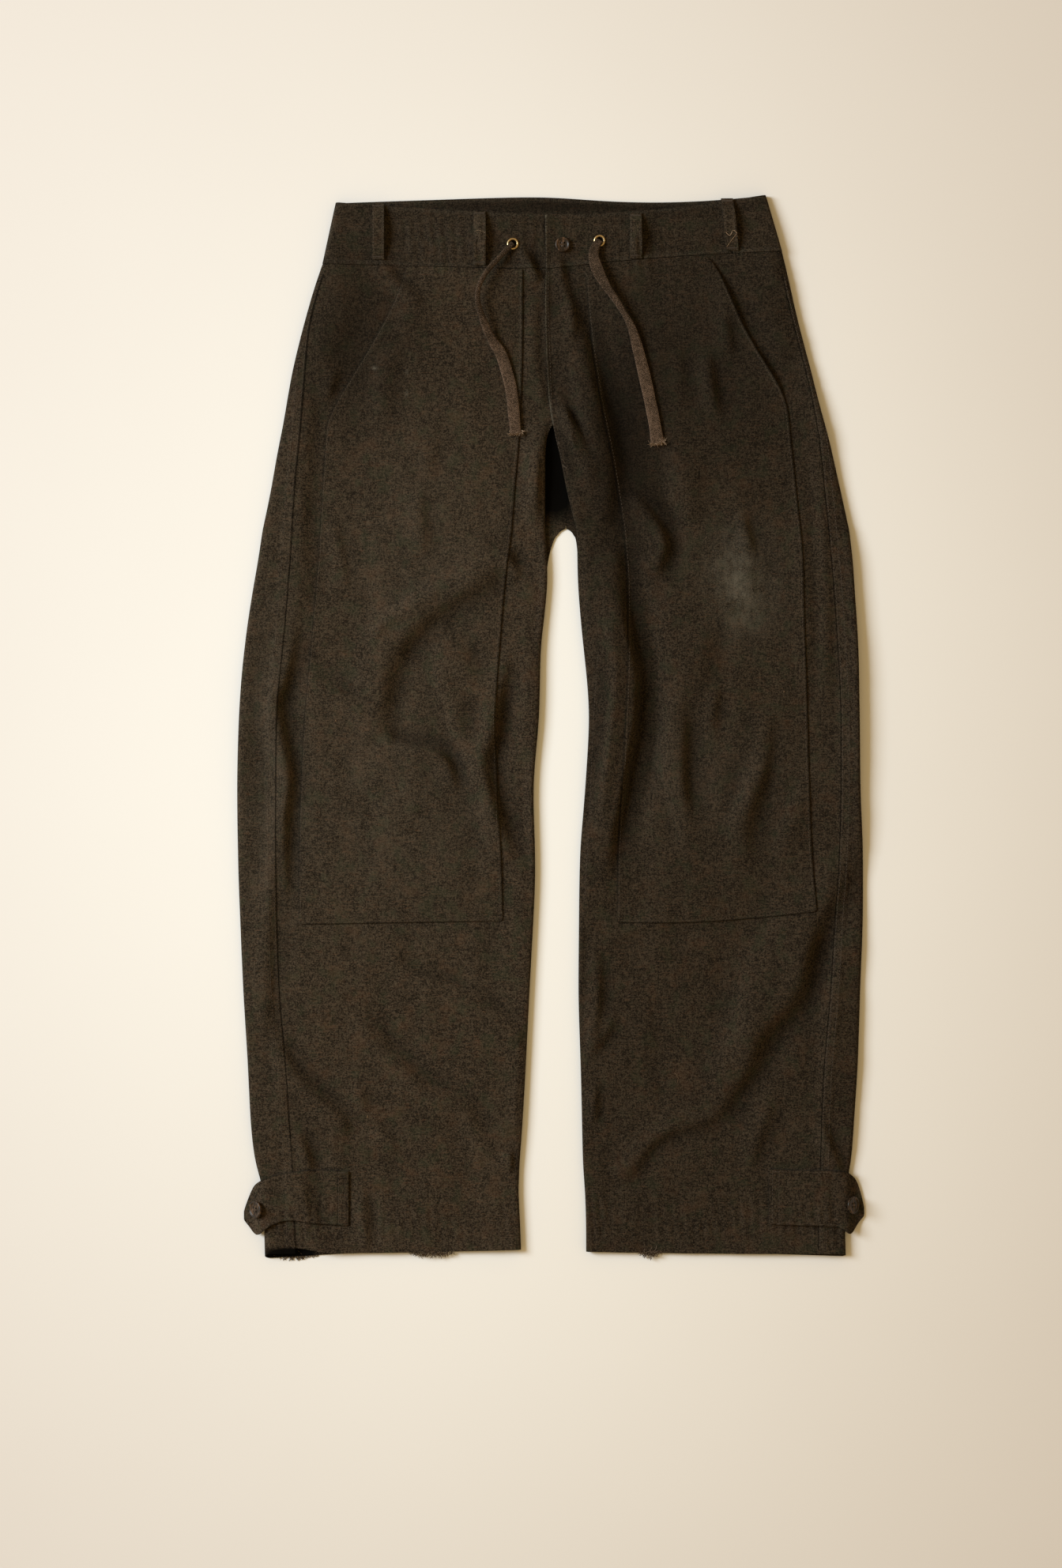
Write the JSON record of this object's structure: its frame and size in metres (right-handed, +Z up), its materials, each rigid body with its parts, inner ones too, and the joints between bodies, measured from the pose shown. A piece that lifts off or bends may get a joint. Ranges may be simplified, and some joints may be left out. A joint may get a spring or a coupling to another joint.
{
  "type": "canvas work pants laid flat",
  "caption": "Dark canvas work pants laid flat, front up: second layer over the thighs and knees, slant pockets, belt loops, drawstring waist and buttoned hem tabs.",
  "frame": {"origin": "on the surface the pants lie on, in the middle of their outline without the drawstring", "axes": "+X to the wearer's left, +Y to the waist, +Z up out of the front of the pants"},
  "size_m": [0.6118, 1.037, 0.0191],
  "materials": {
    "canvas": "worn dark brown-black cotton canvas, matt, heathered by wear",
    "tape": "flat woven cotton tape, dark brown, matt",
    "brass": "small rolled eyelets, dulled brass",
    "horn": "dark brown horn-like four-hole buttons, half gloss"
  },
  "bodies": {
    "root": {"back_right": "canvas", "back_left": "canvas", "front_right": "canvas", "front_left": "canvas", "double_front_right": "canvas", "double_front_left": "canvas", "waistband_back": "canvas", "waistband_right": "canvas", "waistband_left": "canvas", "belt_loop_side_right": "canvas", "belt_loop_front_right": "canvas", "belt_loop_front_left": "canvas", "belt_loop_side_left": "canvas", "hem_tab_right": "canvas", "hem_tab_left": "canvas", "eyelet_right": "brass", "eyelet_left": "brass", "button_waist": "horn", "button_hem_right": "horn", "button_hem_left": "horn", "drawstring_right": "tape", "drawstring_left": "tape"}
  },
  "joints": []
}
